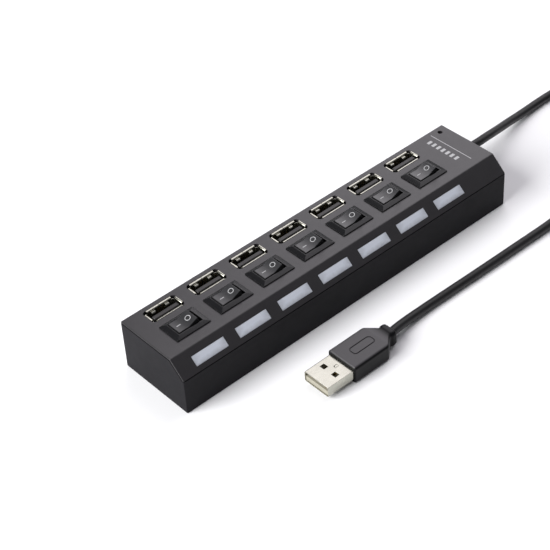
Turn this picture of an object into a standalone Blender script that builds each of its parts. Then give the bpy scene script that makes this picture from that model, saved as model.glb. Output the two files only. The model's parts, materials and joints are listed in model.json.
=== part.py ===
"""Seven-port USB hub: a rocker switch and an indicator window for each port, a cable and a plug.

Metres, +Z up. The origin is the centre of the hub's underside. +X points to the end that the
cable leaves, and the bevelled edge with the indicator windows faces -Y.
"""

import math

import bmesh
import bpy
from mathutils import Matrix, Vector

MM = 0.001
FIT = 0.1 * MM          # clearance of a piece that sits snugly in another
GAP = 0.3 * MM          # clearance between pieces that are stacked or laid side by side

# Case, as one outer form that is then divided into lid and tray
LENGTH = 160.3 * MM
WIDTH = 33.6 * MM
HEIGHT = 21.2 * MM
CHAMFER_RUN = 6.7 * MM  # how far the bevelled edge reaches in across the top
CHAMFER_DROP = 6.0 * MM
EDGE_RADIUS = 0.4 * MM
SKIN = 0.35 * MM        # the lid's rim, which lies over the tray's walls
SEAM = 0.55 * MM        # the groove that shows under the rim
FOOT_SEAM = 0.35 * MM   # the groove at the foot of the bevelled edge
LID_THICKNESS = 2.0 * MM
WALL = 1.8 * MM
FLOOR = 2.0 * MM
BEYOND = 5.0 * MM       # how far a cutter stands clear of what it cuts

HALF_LENGTH = LENGTH / 2
HALF_WIDTH = WIDTH / 2
CHAMFER_ANGLE = math.atan2(CHAMFER_DROP, CHAMFER_RUN)
CHAMFER_FOOT = Vector((0.0, -HALF_WIDTH, HEIGHT - CHAMFER_DROP))

# The row of ports, switches and windows
PORT_COUNT = 7
PITCH = 19.6 * MM
FIRST_PORT_X = -65.3 * MM
PORT_Y = 11.2 * MM
SWITCH_Y = -0.5 * MM
WINDOW_SHIFT = -0.4 * MM
STATIONS = [FIRST_PORT_X + index * PITCH for index in range(PORT_COUNT)]

# Circuit board
BOARD_BOTTOM = 5.0 * MM
BOARD_TOP = 6.6 * MM
BOARD_X = (-72.2 * MM, 77.4 * MM)
BOARD_Y = (-13.0 * MM, 14.4 * MM)
POST_RADIUS = 2.0 * MM
SUPPORT_X = (-50.0 * MM, 50.0 * MM)
SUPPORT_Y = (-9.0 * MM, 9.0 * MM)

# Screws from beneath
SCREW_X = (-75.4 * MM, 72.0 * MM)
SCREW_POST_RADIUS = 2.7 * MM
SCREW_HOLE_RADIUS = 1.4 * MM
SCREW_HEAD_RADIUS = 2.1 * MM
SCREW_SEAT = 1.9 * MM
POST_TOP = 12.0 * MM

# USB-A port
MOUTH = (6.25 * MM, 2.56 * MM)          # half sizes of the opening
SHEET = 0.3 * MM
SHELL_BOTTOM = BOARD_TOP + GAP
FLARE_START = 20.2 * MM
LIP_REACH = 0.7 * MM
PORT_HOLE = (7.15 * MM, 3.55 * MM, 1.5 * MM)    # half sizes and corner radius in the lid
LIP_HALF = (5.5 * MM, 1.95 * MM)
TONGUE_TIP = 20.9 * MM
TONGUE_HALF = 5.5 * MM
TONGUE_Y = (-1.87 * MM, -0.03 * MM)
INSULATOR_TOP = 9.4 * MM

# Snap-in rocker switch, heights from the lid's top face
FLANGE = (7.45 * MM, 5.1 * MM)
FLANGE_EDGE = 0.4 * MM
RIM = 1.1 * MM
RIM_LAND = 0.3 * MM
WELL = (5.2 * MM, 3.25 * MM)
SWITCH_BODY = (6.7 * MM, 4.45 * MM)
SWITCH_DEPTH = 10.9 * MM
WELL_DEPTH = 5.7 * MM
SWITCH_HOLE = (6.9 * MM, 4.65 * MM)
BARB_REACH = 0.7 * MM
BARB_TOP = LID_THICKNESS + 0.4 * MM
BARB_FOOT = 5.2 * MM
BARB_HALF = 2.5 * MM

# Rocker, about its pivot and level between its two positions
PIVOT_Z = HEIGHT + RIM - 2.63 * MM
ROCKER_HALF_WIDTH = 3.05 * MM
ROCKER_CENTRE = 3.0 * MM
ROCKER_FACET = 4.3 * MM
ROCKER_TILT = math.radians(12.0)
ROCKER_WAIST = (4.81 * MM, 1.02 * MM)
ROCKER_FOOT = (2.2 * MM, -1.6 * MM)
PIN_RADIUS = 0.8 * MM
PIN_HALF = 4.1 * MM
PIN_HOLE_RADIUS = 0.95 * MM

# Indicator windows in the bevelled edge: sizes across it and along its slope
WINDOW = (7.1 * MM, 1.9 * MM)
WINDOW_CENTRE = 3.94 * MM               # up the slope from the bevelled edge's foot
WINDOW_FLANGE = (8.0 * MM, 2.7 * MM)
LED_RADIUS = 1.5 * MM
POWER_LED_RADIUS = 1.0 * MM
LED_Y = -11.2 * MM
LED_Z = 9.0 * MM
POWER_LIGHT = (76.0 * MM, 13.7 * MM)
POWER_HOLE_RADIUS = 1.0 * MM

# Cable, and the plug that lies on the table in front of the hub
CABLE_DIAMETER = 3.5 * MM
CABLE_EXIT = (8.5 * MM, 10.2 * MM)      # y and z where it leaves the end wall
GROMMET_REACH = 8.0 * MM
GROMMET_NECK = 2.6 * MM                 # radius where it passes through the wall
PLUG_Y = -40.3 * MM
PLUG_Z = 3.7 * MM
PLUG_BACK_X = -5.6 * MM
PLUG_BODY = 16.5 * MM
PLUG_TAPER = 4.3 * MM
PLUG_FRONT_X = -29.7 * MM
PLUG_SHELL_HALF = (6.0 * MM, 2.25 * MM)
PLUG_SHELL_REACH = 12.0 * MM
PLUG_POCKET = 2.0 * MM

# Where the cable is not coiled, in millimetres
ROUTE_FROM_HUB = [
    (88.5, 8.5, 10.2), (93.0, 8.6, 10.05), (98.0, 9.4, 9.3), (104.0, 10.7, 7.9),
    (110.0, 12.3, 6.2), (117.0, 14.0, 4.5), (124.0, 15.3, 3.1), (131.0, 16.2, 2.3),
    (138.0, 16.8, 1.9), (145.0, 17.0, 1.8), (152.0, 16.6, 1.9), (158.0, 15.4, 2.1),
    (163.5, 13.3, 2.3),
]
ROUTE_TO_PLUG = [
    (150.0, -34.2, 4.7), (143.0, -34.3, 3.4), (136.0, -34.6, 2.4), (127.0, -35.3, 1.8),
    (115.0, -36.6, 1.76), (100.0, -38.0, 1.76), (81.3, -38.9, 1.76), (60.0, -38.8, 1.76),
    (40.0, -38.6, 1.76), (28.0, -38.4, 1.76), (21.0, -38.3, 1.78), (14.0, -38.3, 1.9),
    (8.0, -38.5, 2.2), (3.0, -38.9, 2.7), (-1.3, -39.5, 3.25), (-5.3, -40.2, 3.65),
]

# The coil of spare cable, whose turns are held by a strap
COIL_CENTRE = Vector((166.5 * MM, -13.2 * MM, 0.0))
COIL_RADIUS = 21.0 * MM
COIL_HALF_BREADTH = 3.6 * MM
STRAP_THICKNESS = 0.5 * MM
COIL_BOTTOM = STRAP_THICKNESS + GAP
COIL_TOP = 8.0 * MM
STRAP_WIDTH = 5.0 * MM


# ---------------------------------------------------------------- scene and materials

def clear_scene():
    for obj in list(bpy.data.objects):
        bpy.data.objects.remove(obj, do_unlink=True)


def new_collection(name, hidden=False):
    group = bpy.data.collections.new(name)
    group.hide_render = hidden
    bpy.context.scene.collection.children.link(group)
    return group


def material(name, colour, roughness, metallic=0.0, transmission=0.0):
    made = bpy.data.materials.new(name)
    made.use_nodes = True
    shader = made.node_tree.nodes["Principled BSDF"]
    shader.inputs["Base Color"].default_value = (*colour, 1.0)
    shader.inputs["Roughness"].default_value = roughness
    shader.inputs["Metallic"].default_value = metallic
    shader.inputs["Transmission Weight"].default_value = transmission
    return made


clear_scene()
HUB = new_collection("usb_hub")
CUTTERS = new_collection("cutters", hidden=True)
MATERIALS = {
    "lid": material("lid", (0.030, 0.028, 0.031), 0.55),
    "tray": material("tray", (0.020, 0.019, 0.022), 0.6),
    "board": material("board", (0.010, 0.090, 0.040), 0.45),
    "steel": material("steel", (0.72, 0.70, 0.66), 0.3, metallic=1.0),
    "insulator": material("insulator", (0.012, 0.012, 0.013), 0.5),
    "switch": material("switch", (0.035, 0.034, 0.037), 0.45),
    "rocker": material("rocker", (0.055, 0.055, 0.060), 0.4),
    "window": material("window", (0.50, 0.55, 0.64), 0.5, transmission=0.2),
    "led": material("led", (0.75, 0.80, 0.85), 0.2, transmission=0.6),
    "chip": material("chip", (0.015, 0.015, 0.016), 0.5),
    "rubber": material("rubber", (0.020, 0.020, 0.021), 0.55),
    "plug_plastic": material("plug_plastic", (0.55, 0.52, 0.44), 0.5),
}


# ---------------------------------------------------------------- shape tools

def to_mesh(name, shape):
    bmesh.ops.recalc_face_normals(shape, faces=shape.faces)
    mesh = bpy.data.meshes.new(name)
    shape.to_mesh(mesh)
    shape.free()
    return mesh


def part(name, finish, mesh, location=(0, 0, 0), rotation=(0, 0, 0)):
    """A visible piece of the hub."""
    obj = bpy.data.objects.new(name, mesh)
    obj.location = location
    obj.rotation_euler = rotation
    if not mesh.materials:
        mesh.materials.append(MATERIALS[finish])
    HUB.objects.link(obj)
    return obj


def helper(name, mesh, location=(0, 0, 0), rotation=(0, 0, 0)):
    """A solid that is only cut from a piece or joined to it."""
    obj = bpy.data.objects.new(name, mesh)
    obj.location = location
    obj.rotation_euler = rotation
    obj.hide_render = True
    obj.display_type = "WIRE"
    CUTTERS.objects.link(obj)
    return obj


def combine(obj, operation, other):
    step = obj.modifiers.new(other.name, "BOOLEAN")
    step.operation = operation
    step.solver = "EXACT"
    step.object = other


def round_edges(obj, width, segments=2, angle=30.0):
    step = obj.modifiers.new("rounded edges", "BEVEL")
    step.width = width
    step.segments = segments
    step.limit_method = "ANGLE"
    step.angle_limit = math.radians(angle)


def shade_smooth(mesh, angle=35.0):
    mesh.shade_smooth()
    mesh.set_sharp_from_angle(angle=math.radians(angle))


def add_box(shape, low, high):
    low, high = Vector(low), Vector(high)
    size = high - low
    scaling = Matrix.Diagonal((*size, 1.0))
    bmesh.ops.create_cube(shape, size=1.0, matrix=Matrix.Translation((low + high) / 2) @ scaling)


def add_cylinder(shape, radius, start, end, sides=16):
    """A cylinder between two points."""
    start, end = Vector(start), Vector(end)
    along = end - start
    turn = along.to_track_quat("Z", "Y").to_matrix().to_4x4()
    bmesh.ops.create_cone(
        shape, cap_ends=True, segments=sides, radius1=radius, radius2=radius,
        depth=along.length, matrix=Matrix.Translation((start + end) / 2) @ turn,
    )


def box_mesh(name, low, high):
    shape = bmesh.new()
    add_box(shape, low, high)
    return to_mesh(name, shape)


def cylinder_mesh(name, radius, start, end, sides=16):
    shape = bmesh.new()
    add_cylinder(shape, radius, start, end, sides)
    return to_mesh(name, shape)


def add_prism(shape, outline, travel):
    """Extrudes a flat outline, a list of points, along the travel vector."""
    face = shape.faces.new([shape.verts.new(point) for point in outline])
    swept = bmesh.ops.extrude_face_region(shape, geom=[face])
    moved = [item for item in swept["geom"] if isinstance(item, bmesh.types.BMVert)]
    bmesh.ops.translate(shape, verts=moved, vec=travel)


def prism_mesh(name, outline, travel):
    shape = bmesh.new()
    add_prism(shape, outline, travel)
    return to_mesh(name, shape)


def layered_mesh(name, layers):
    """A block that steps or tapers as it rises: each layer is z, then its x and y ranges."""
    shape = bmesh.new()
    z, x_range, y_range = layers[0]
    corners = [(0, 0), (1, 0), (1, 1), (0, 1)]
    top = shape.faces.new([shape.verts.new((x_range[i], y_range[j], z)) for i, j in corners])
    swept = bmesh.ops.extrude_face_region(shape, geom=[top])
    top = next(item for item in swept["geom"] if isinstance(item, bmesh.types.BMFace))
    place_ring(top, layers[1], corners)
    for layer in layers[2:]:
        top = bmesh.ops.extrude_discrete_faces(shape, faces=[top])["faces"][0]
        place_ring(top, layer, corners)
    return to_mesh(name, shape)


def place_ring(face, layer, corners):
    z, x_range, y_range = layer
    for vertex, (i, j) in zip(face.verts, corners):
        vertex.co = (x_range[i], y_range[j], z)


def loft_mesh(name, rings, closed=False):
    """A skin over rings of points that match one for one, capped or closed on itself."""
    shape = bmesh.new()
    rows = [[shape.verts.new(point) for point in ring] for ring in rings]
    pairs = list(zip(rows, rows[1:]))
    if closed:
        pairs.append((rows[-1], rows[0]))
    else:
        shape.faces.new(rows[0])
        shape.faces.new(rows[-1])
    for row, following in pairs:
        for index in range(len(row)):
            behind = index - 1
            shape.faces.new((row[behind], row[index], following[index], following[behind]))
    return to_mesh(name, shape)


def turned_part(name, finish, profile, steps, location=(0, 0, 0), rotation=(0, 0, 0)):
    """A profile of (radius, z) points, listed down its outer side, turned about its Z axis."""
    mesh = bpy.data.meshes.new(name)
    points = [(radius, 0.0, z) for radius, z in profile]
    closed = profile[0][0] > 0.0
    edges = [(index, index + 1) for index in range(len(points) - 1)]
    if closed:
        edges.append((len(points) - 1, 0))
    mesh.from_pydata(points, edges, [])
    obj = part(name, finish, mesh, location, rotation)
    screw = obj.modifiers.new("turned", "SCREW")
    screw.steps = steps
    screw.render_steps = steps
    screw.use_merge_vertices = True
    screw.merge_threshold = 0.01 * MM
    return obj


def rounded_rectangle(half_x, half_y, radius, steps=3):
    """Points of a rectangle with round corners, counter-clockwise."""
    points = []
    for quarter, (sign_x, sign_y) in enumerate([(1, 1), (-1, 1), (-1, -1), (1, -1)]):
        centre_x = sign_x * (half_x - radius)
        centre_y = sign_y * (half_y - radius)
        for step in range(steps + 1):
            angle = math.radians(90.0 * (quarter + step / steps))
            points.append((centre_x + radius * math.cos(angle), centre_y + radius * math.sin(angle)))
    return points


def centred(half):
    return (-half, half)


# ---------------------------------------------------------------- case

def bend_y(depth):
    """Y of the bend between the top and the bevelled edge, at a depth below their outer faces."""
    return -HALF_WIDTH + CHAMFER_RUN + depth * (1 - math.cos(CHAMFER_ANGLE)) / math.sin(CHAMFER_ANGLE)


def chamfer_z(y, depth):
    """Height of the surface that lies at a depth under the bevelled edge."""
    rise = (y + HALF_WIDTH) * math.tan(CHAMFER_ANGLE)
    return HEIGHT - CHAMFER_DROP + rise - depth / math.cos(CHAMFER_ANGLE)


def chamfer_y(z, depth):
    above_foot = z - (HEIGHT - CHAMFER_DROP) + depth / math.cos(CHAMFER_ANGLE)
    return -HALF_WIDTH + above_foot / math.tan(CHAMFER_ANGLE)


def across_x(outline, half_length):
    """The YZ outline placed at -half_length, and the travel that takes it to +half_length."""
    return [(-half_length, y, z) for y, z in outline], (2 * half_length, 0, 0)


def outer_form(name):
    outline = [
        (-HALF_WIDTH, 0.0), (HALF_WIDTH, 0.0), (HALF_WIDTH, HEIGHT),
        (bend_y(0.0), HEIGHT), (-HALF_WIDTH, HEIGHT - CHAMFER_DROP),
    ]
    return prism_mesh(name, *across_x(outline, HALF_LENGTH))


def above_seam(name, depth, foot_z):
    """Everything above a surface at this depth under the top and the bevelled edge."""
    outside = HALF_WIDTH + BEYOND
    outline = [
        (-outside, foot_z), (chamfer_y(foot_z, depth), foot_z), (bend_y(depth), HEIGHT - depth),
        (outside, HEIGHT - depth), (outside, HEIGHT + BEYOND), (-outside, HEIGHT + BEYOND),
    ]
    return helper(name, prism_mesh(name, *across_x(outline, HALF_LENGTH + BEYOND)))


def lid_plate():
    """The thick middle of the lid, which drops between the tray's walls."""
    back = HALF_WIDTH - WALL - GAP
    overlap = SKIN / 2
    outline = [
        (-back, chamfer_z(-back, LID_THICKNESS)), (bend_y(LID_THICKNESS), HEIGHT - LID_THICKNESS),
        (back, HEIGHT - LID_THICKNESS), (back, HEIGHT - overlap),
        (bend_y(overlap), HEIGHT - overlap), (-back, chamfer_z(-back, overlap)),
    ]
    half_length = HALF_LENGTH - WALL - GAP
    return helper("lid_plate", prism_mesh("lid_plate", *across_x(outline, half_length)))


def window_frame(station):
    """Position and turn of a window: its local Y runs up the slope and its Z points outward."""
    up_slope = Vector((0, math.cos(CHAMFER_ANGLE), math.sin(CHAMFER_ANGLE)))
    place = CHAMFER_FOOT + up_slope * WINDOW_CENTRE + Vector((station + WINDOW_SHIFT, 0, 0))
    return place, (CHAMFER_ANGLE, 0, 0)


def lid_openings():
    """One cutter for the holes in the top face and one for the slots in the bevelled edge."""
    top = bmesh.new()
    under = HEIGHT - LID_THICKNESS - BEYOND
    through = (0, 0, LID_THICKNESS + 2 * BEYOND)
    for station in STATIONS:
        corners = rounded_rectangle(*PORT_HOLE, steps=6)
        add_prism(top, [(station + x, PORT_Y + y, under) for x, y in corners], through)
        low = (station - SWITCH_HOLE[0], SWITCH_Y - SWITCH_HOLE[1], under)
        high = (station + SWITCH_HOLE[0], SWITCH_Y + SWITCH_HOLE[1], HEIGHT + BEYOND)
        add_box(top, low, high)
    add_cylinder(top, POWER_HOLE_RADIUS, (*POWER_LIGHT, under), (*POWER_LIGHT, HEIGHT + BEYOND))
    for x in SCREW_X:
        add_cylinder(top, SCREW_HOLE_RADIUS, (x, 0, POST_TOP - BEYOND), (x, 0, HEIGHT - LID_THICKNESS))
    slope = bmesh.new()
    for station in STATIONS:
        place, turn = window_frame(station)
        slot = bmesh.new()
        half_x, half_y = WINDOW[0] + FIT, WINDOW[1] + FIT
        add_box(slot, (-half_x, -half_y, -BEYOND), (half_x, half_y, BEYOND))
        bmesh.ops.rotate(slot, verts=slot.verts, matrix=Matrix.Rotation(turn[0], 3, "X"))
        bmesh.ops.translate(slot, verts=slot.verts, vec=place)
        slope.from_mesh(to_mesh("slot", slot))
    return (
        helper("lid_top_openings", to_mesh("lid_top_openings", top)),
        helper("lid_slope_openings", to_mesh("lid_slope_openings", slope)),
    )


def make_lid():
    lid = part("top_lid", "lid", outer_form("top_lid"))
    round_edges(lid, EDGE_RADIUS)
    combine(lid, "INTERSECT", above_seam("lid_rim", SKIN, HEIGHT - CHAMFER_DROP))
    combine(lid, "UNION", lid_plate())
    bosses = bmesh.new()
    for x in SCREW_X:
        top = HEIGHT - LID_THICKNESS + SKIN
        add_cylinder(bosses, SCREW_POST_RADIUS - 2 * FIT, (x, 0, POST_TOP + GAP), (x, 0, top))
    combine(lid, "UNION", helper("lid_bosses", to_mesh("lid_bosses", bosses)))
    for openings in lid_openings():
        combine(lid, "DIFFERENCE", openings)


def make_tray():
    tray = part("case_body", "tray", outer_form("case_body"))
    round_edges(tray, EDGE_RADIUS)
    combine(tray, "DIFFERENCE", above_seam("seam", SKIN + SEAM, HEIGHT - CHAMFER_DROP - FOOT_SEAM))
    inside = (HALF_LENGTH - WALL, HALF_WIDTH - WALL)
    cavity = box_mesh("cavity", (-inside[0], -inside[1], FLOOR), (*inside, HEIGHT + BEYOND))
    combine(tray, "DIFFERENCE", helper("cavity", cavity))
    posts = bmesh.new()
    for x in SUPPORT_X:
        for y in SUPPORT_Y:
            add_cylinder(posts, POST_RADIUS, (x, y, FLOOR / 2), (x, y, BOARD_BOTTOM - GAP), sides=12)
    for x in SCREW_X:
        add_cylinder(posts, SCREW_POST_RADIUS, (x, 0, FLOOR / 2), (x, 0, POST_TOP))
    combine(tray, "UNION", helper("tray_posts", to_mesh("tray_posts", posts)))
    holes = bmesh.new()
    for x in SCREW_X:
        seat = [(SCREW_HEAD_RADIUS + GAP, -BEYOND), (SCREW_HEAD_RADIUS + GAP, SCREW_SEAT)]
        bore = [(SCREW_HOLE_RADIUS, SCREW_SEAT), (SCREW_HOLE_RADIUS, POST_TOP + BEYOND)]
        rings = [[(x + r * math.cos(a), r * math.sin(a), z) for a in circle(16)] for r, z in seat + bore]
        holes.from_mesh(loft_mesh("screw_hole", rings))
    y, z = CABLE_EXIT
    neck = GROMMET_NECK + FIT
    add_cylinder(holes, neck, (HALF_LENGTH - WALL - BEYOND / 2, y, z), (HALF_LENGTH + BEYOND, y, z), sides=24)
    combine(tray, "DIFFERENCE", helper("tray_holes", to_mesh("tray_holes", holes)))


def circle(sides):
    return [2 * math.pi * index / sides for index in range(sides)]


# ---------------------------------------------------------------- board and what is on it

def make_board():
    low = (BOARD_X[0], BOARD_Y[0], BOARD_BOTTOM)
    high = (BOARD_X[1], BOARD_Y[1], BOARD_TOP)
    board = part("main_board", "board", box_mesh("main_board", low, high))
    x = SCREW_X[1]
    start, end = (x, 0, BOARD_BOTTOM - BEYOND), (x, 0, BOARD_TOP + BEYOND)
    hole = cylinder_mesh("board_hole", SCREW_POST_RADIUS + GAP, start, end)
    combine(board, "DIFFERENCE", helper("board_hole", hole))


def make_chips():
    half, thickness = 3.5 * MM, 1.4 * MM
    top = BOARD_BOTTOM - GAP
    for index, x in enumerate((-22.0 * MM, 24.0 * MM), start=1):
        name = f"hub_chip_{index}"
        mesh = box_mesh(name, (-half, -half, -thickness), (half, half, 0))
        chip = part(name, "chip", mesh, (x, 0, top))
        round_edges(chip, 0.3 * MM, segments=1)


def make_crystal():
    outline = rounded_rectangle(2.3 * MM, 5.4 * MM, 2.2 * MM)
    base = BOARD_TOP + GAP
    mesh = prism_mesh("crystal", [(x, y, 0) for x, y in outline], (0, 0, 3.5 * MM))
    part("crystal", "steel", mesh, (64.0 * MM, -5.0 * MM, base))


def make_capacitor():
    radius, height, rim = 2.5 * MM, 7.0 * MM, 0.4 * MM
    profile = [
        (0.0, height), (radius - rim, height), (radius, height - rim),
        (radius, 1.6 * MM), (radius - rim, 1.3 * MM), (radius, 1.0 * MM), (radius, 0.0), (0.0, 0.0),
    ]
    turned_part("capacitor", "chip", profile, 16, (64.5 * MM, 8.0 * MM, BOARD_TOP + GAP))


def led_profile(radius):
    """A domed lens on a wider foot."""
    shoulder, flange = 3.6 * MM, 0.9 * MM
    dome = [
        (radius * math.sin(math.radians(a)), shoulder + radius * math.cos(math.radians(a)))
        for a in (0, 30, 60, 90)
    ]
    rim = 1.2 * radius
    return dome + [(radius, flange), (rim, flange), (rim, 0.0), (0.0, 0.0)]


def make_leds():
    for index, station in enumerate(STATIONS, start=1):
        place = (station + WINDOW_SHIFT, LED_Y, LED_Z)
        turned_part(f"led_{index}", "led", led_profile(LED_RADIUS), 10, place)
    place = (*POWER_LIGHT, HEIGHT - LID_THICKNESS - 6.0 * MM)
    turned_part("power_led", "led", led_profile(POWER_LED_RADIUS), 10, place)


# ---------------------------------------------------------------- ports

def port_shell_mesh():
    """A sheet-metal tube whose mouth turns outward in four separate lips."""
    outer = (MOUTH[0] + SHEET, MOUTH[1] + SHEET)
    levels = [
        (SHELL_BOTTOM, *outer, 0.7), (FLARE_START, *outer, 0.7),
        (HEIGHT - 0.15 * MM, MOUTH[0] + LIP_REACH, MOUTH[1] + LIP_REACH, 1.0),
        (HEIGHT + 0.05 * MM, MOUTH[0] + LIP_REACH - 0.2 * MM, MOUTH[1] + LIP_REACH - 0.2 * MM, 0.9),
        (FLARE_START + 0.12 * MM, *MOUTH, 0.45), (SHELL_BOTTOM, *MOUTH, 0.45),
    ]
    rings = []
    for z, half_x, half_y, radius in levels:
        rings.append([(x, y, z) for x, y in rounded_rectangle(half_x, half_y, radius * MM, steps=2)])
    return loft_mesh("port_shell", rings, closed=True)


def lip_gaps_mesh():
    """The relief at the mouth's corners and the sheet's joint in the middle of the back lip."""
    shape = bmesh.new()
    floor, top = FLARE_START + 0.25 * MM, HEIGHT + BEYOND
    for side_x in (-1, 1):
        for side_y in (-1, 1):
            near = (side_x * LIP_HALF[0], side_y * LIP_HALF[1])
            far = (side_x * (LIP_HALF[0] + BEYOND), side_y * (LIP_HALF[1] + BEYOND))
            low = (min(near[0], far[0]), min(near[1], far[1]), floor)
            high = (max(near[0], far[0]), max(near[1], far[1]), top)
            add_box(shape, low, high)
    joint = 0.08 * MM
    add_box(shape, (-joint, 0, floor), (joint, MOUTH[1] + BEYOND, top))
    return to_mesh("lip_gaps", shape)


def tongue_mesh():
    """The insulator at the foot of the shell, and the tongue that carries the contacts."""
    base = (MOUTH[0] - 2 * FIT, MOUTH[1] - 2 * FIT)
    tip = 0.25 * MM
    slim = (TONGUE_Y[0] + tip, TONGUE_Y[1] - tip)
    return layered_mesh("port_tongue", [
        (SHELL_BOTTOM, centred(base[0]), centred(base[1])),
        (INSULATOR_TOP, centred(base[0]), centred(base[1])),
        (INSULATOR_TOP, centred(TONGUE_HALF), TONGUE_Y),
        (TONGUE_TIP - tip, centred(TONGUE_HALF), TONGUE_Y),
        (TONGUE_TIP, centred(TONGUE_HALF - tip), slim),
    ])


def make_ports():
    shell, gaps, tongue = port_shell_mesh(), lip_gaps_mesh(), tongue_mesh()
    for index, station in enumerate(STATIONS, start=1):
        place = (station, PORT_Y, 0)
        made = part(f"port_shell_{index}", "steel", shell, place)
        combine(made, "DIFFERENCE", helper(f"lip_gaps_{index}", gaps, place))
        part(f"port_tongue_{index}", "insulator", tongue, place)


# ---------------------------------------------------------------- switches

def housing_mesh():
    """Body and bevelled flange of a switch, up from its foot."""
    body_x, body_y = centred(SWITCH_BODY[0]), centred(SWITCH_BODY[1])
    flange_x, flange_y = centred(FLANGE[0]), centred(FLANGE[1])
    rim_x, rim_y = centred(WELL[0] + RIM_LAND), centred(WELL[1] + RIM_LAND)
    return layered_mesh("switch_housing", [
        (-SWITCH_DEPTH, body_x, body_y), (FIT, body_x, body_y), (FIT, flange_x, flange_y),
        (FLANGE_EDGE, flange_x, flange_y), (RIM, rim_x, rim_y),
    ])


def barbs_mesh():
    """The two wedges that snap in under the lid, one at each end of a switch."""
    shape = bmesh.new()
    root, tip = SWITCH_BODY[0] - 0.5 * MM, SWITCH_BODY[0] + BARB_REACH
    for side in (-1, 1):
        wedge = [(side * root, -BARB_FOOT), (side * tip, -BARB_TOP), (side * root, -BARB_TOP)]
        add_prism(shape, [(x, -BARB_HALF, z) for x, z in wedge], (0, 2 * BARB_HALF, 0))
    return to_mesh("switch_barbs", shape)


def rocker_mesh():
    """Two flat facets that meet in a shallow valley, over a body that narrows to its foot."""
    reach = ROCKER_FACET * math.cos(ROCKER_TILT)
    end_z = ROCKER_CENTRE + ROCKER_FACET * math.sin(ROCKER_TILT)
    half = [(reach, end_z), ROCKER_WAIST, ROCKER_FOOT]
    outline = [(0.0, ROCKER_CENTRE)] + half + [(-x, z) for x, z in reversed(half)]
    points = [(x, -ROCKER_HALF_WIDTH, z) for x, z in outline]
    return prism_mesh("rocker", points, (0, 2 * ROCKER_HALF_WIDTH, 0))


def make_switches():
    housing, barbs, rocker = housing_mesh(), barbs_mesh(), rocker_mesh()
    well = box_mesh("switch_well", (-WELL[0], -WELL[1], -WELL_DEPTH), (*WELL, RIM + BEYOND))
    out = SWITCH_BODY[1] + BEYOND
    pivot_hole = cylinder_mesh("pivot_hole", PIN_HOLE_RADIUS, (0, -out, 0), (0, out, 0))
    pin = cylinder_mesh("pivot_pin", PIN_RADIUS, (0, -PIN_HALF, 0), (0, PIN_HALF, 0), sides=12)
    for index, station in enumerate(STATIONS, start=1):
        place, pivot = (station, SWITCH_Y, HEIGHT), (station, SWITCH_Y, PIVOT_Z)
        body = part(f"switch_housing_{index}", "switch", housing, place)
        combine(body, "UNION", helper(f"switch_barbs_{index}", barbs, place))
        combine(body, "DIFFERENCE", helper(f"switch_well_{index}", well, place))
        combine(body, "DIFFERENCE", helper(f"pivot_hole_{index}", pivot_hole, pivot))
        pressed = (0, -ROCKER_TILT, 0)
        key = part(f"rocker_{index}", "rocker", rocker, pivot, pressed)
        round_edges(key, 0.25 * MM)
        combine(key, "UNION", helper(f"pivot_pin_{index}", pin, pivot, pressed))


# ---------------------------------------------------------------- indicator windows

def make_windows():
    flange, front = WINDOW_FLANGE, WINDOW
    seat = -LID_THICKNESS - FIT
    mesh = layered_mesh("light_window", [
        (seat - 1.0 * MM, centred(flange[0]), centred(flange[1])),
        (seat, centred(flange[0]), centred(flange[1])),
        (seat, centred(front[0]), centred(front[1])),
        (0.0, centred(front[0]), centred(front[1])),
    ])
    for index, station in enumerate(STATIONS, start=1):
        place, turn = window_frame(station)
        part(f"light_window_{index}", "window", mesh, place, turn)


# ---------------------------------------------------------------- screws

def make_screws():
    head, neck, shank_top, tip = 0.5 * MM, 1.6 * MM, 14.6 * MM, 16.0 * MM
    shank = 1.1 * MM
    profile = [
        (0.0, tip), (shank, shank_top), (shank, neck),
        (SCREW_HEAD_RADIUS, neck), (SCREW_HEAD_RADIUS, head + 0.4 * MM),
        (SCREW_HEAD_RADIUS - 0.4 * MM, head), (0.0, head),
    ]
    arm, half = 1.2 * MM, 0.25 * MM
    cross = [
        (arm, half), (half, half), (half, arm), (-half, arm), (-half, half), (-arm, half),
        (-arm, -half), (-half, -half), (-half, -arm), (half, -arm), (half, -half), (arm, -half),
    ]
    recess = prism_mesh("recess", [(x, y, -head) for x, y in cross], (0, 0, 2 * head + 0.6 * MM))
    for name, x in zip(("screw_left", "screw_right"), SCREW_X):
        screw = turned_part(name, "steel", profile, 16, (x, 0, 0))
        combine(screw, "DIFFERENCE", helper(f"{name}_recess", recess, (x, 0, 0)))


# ---------------------------------------------------------------- cable and plug

def make_grommet():
    """A strain relief held in the end wall: it narrows along the cable, with two flex grooves."""
    neck, shoulder = GROMMET_NECK, GROMMET_NECK + 0.5 * MM
    inside = -WALL - 0.2 * MM
    tip_radius = 2.2 * MM
    profile = [(0.0, GROMMET_REACH), (tip_radius, GROMMET_REACH)]
    for start in (5.4 * MM, 3.2 * MM):
        wide = tip_radius + (GROMMET_REACH - start) / GROMMET_REACH * (shoulder - tip_radius)
        profile += [(wide, start + 0.8 * MM), (wide - 0.4 * MM, start + 0.6 * MM)]
        profile += [(wide - 0.4 * MM, start + 0.2 * MM), (wide, start)]
    profile += [
        (shoulder, 0.2 * MM), (neck, 0.2 * MM), (neck, inside), (shoulder, inside),
        (shoulder, inside - 1.0 * MM), (0.0, inside - 1.0 * MM),
    ]
    place = (HALF_LENGTH, *CABLE_EXIT)
    turned_part("cable_grommet", "rubber", profile, 20, place, (0, math.radians(90), 0))


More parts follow.
